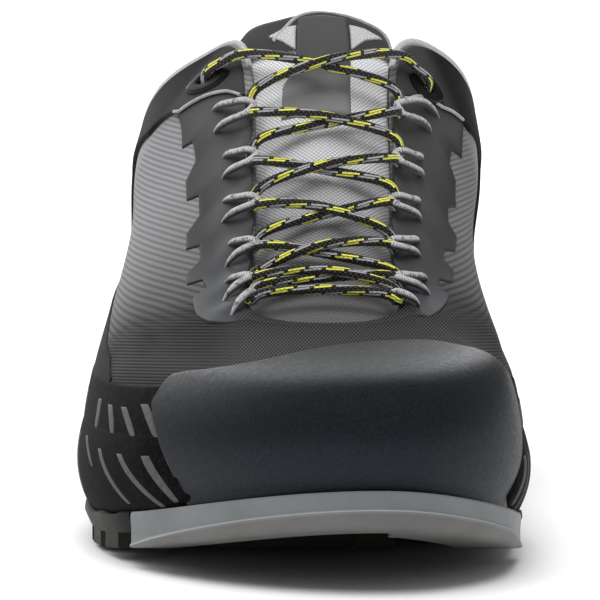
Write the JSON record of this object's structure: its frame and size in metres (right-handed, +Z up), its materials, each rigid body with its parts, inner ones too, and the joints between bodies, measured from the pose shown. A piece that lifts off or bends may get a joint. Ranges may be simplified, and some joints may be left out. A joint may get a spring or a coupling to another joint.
{
  "type": "hiking shoe",
  "caption": "Low hiking shoe for the right foot: hollow woven upper with panels and a rubber toe cap, corded lacing, padded collar, foam midsole and lugged sole.",
  "frame": {"origin": "on the floor under the middle of the shoe's length and width", "axes": "+Z up, toe towards -Y, big-toe (medial) side towards +X"},
  "size_m": [0.1142, 0.2994, 0.1256],
  "materials": {
    "tread_rubber": "matte",
    "toe_zone_rubber": "matte",
    "midsole_foam": "matte",
    "insole_felt": "matte",
    "upper_weave": "woven",
    "toe_cap_rubber": "matte grained",
    "overlay_film": "satin",
    "lining_knit": "knitted",
    "tongue_knit": "knitted",
    "lace_braid": "braided",
    "loop_cord": "twisted",
    "eyelet_plastic": "gloss"
  },
  "bodies": {
    "root": {"outsole": "tread_rubber", "toe_zone": "toe_zone_rubber", "midsole": "midsole_foam", "insole": "insole_felt", "upper": "upper_weave", "toe_cap": "toe_cap_rubber", "rand": "overlay_film", "heel_counter": "overlay_film", "collar_panel": "overlay_film", "eyestay": "overlay_film", "collar_lining": "lining_knit", "tongue": "tongue_knit", "lace_bar": "lace_braid", "lace_crossing_0": "lace_braid", "lace_crossing_1": "lace_braid", "lace_crossing_2": "lace_braid", "lace_crossing_3": "lace_braid", "lace_crossing_4": "lace_braid", "lace_crossing_5": "lace_braid", "lace_loop_lateral_0_0": "loop_cord", "lace_loop_lateral_1_0": "loop_cord", "lace_loop_lateral_1_1": "loop_cord", "lace_loop_lateral_2_0": "loop_cord", "lace_loop_lateral_2_1": "loop_cord", "lace_loop_lateral_3_0": "loop_cord", "lace_loop_lateral_3_1": "loop_cord", "lace_loop_lateral_4_0": "loop_cord", "lace_loop_lateral_4_1": "loop_cord", "lace_loop_lateral_5_0": "loop_cord", "lace_loop_lateral_5_1": "loop_cord", "lace_loop_medial_0_0": "loop_cord", "lace_loop_medial_1_0": "loop_cord", "lace_loop_medial_1_1": "loop_cord", "lace_loop_medial_2_0": "loop_cord", "lace_loop_medial_2_1": "loop_cord", "lace_loop_medial_3_0": "loop_cord", "lace_loop_medial_3_1": "loop_cord", "lace_loop_medial_4_0": "loop_cord", "lace_loop_medial_4_1": "loop_cord", "lace_loop_medial_5_0": "loop_cord", "lace_loop_medial_5_1": "loop_cord", "top_eyelet_lateral": "eyelet_plastic", "top_eyelet_medial": "eyelet_plastic"}
  },
  "joints": []
}
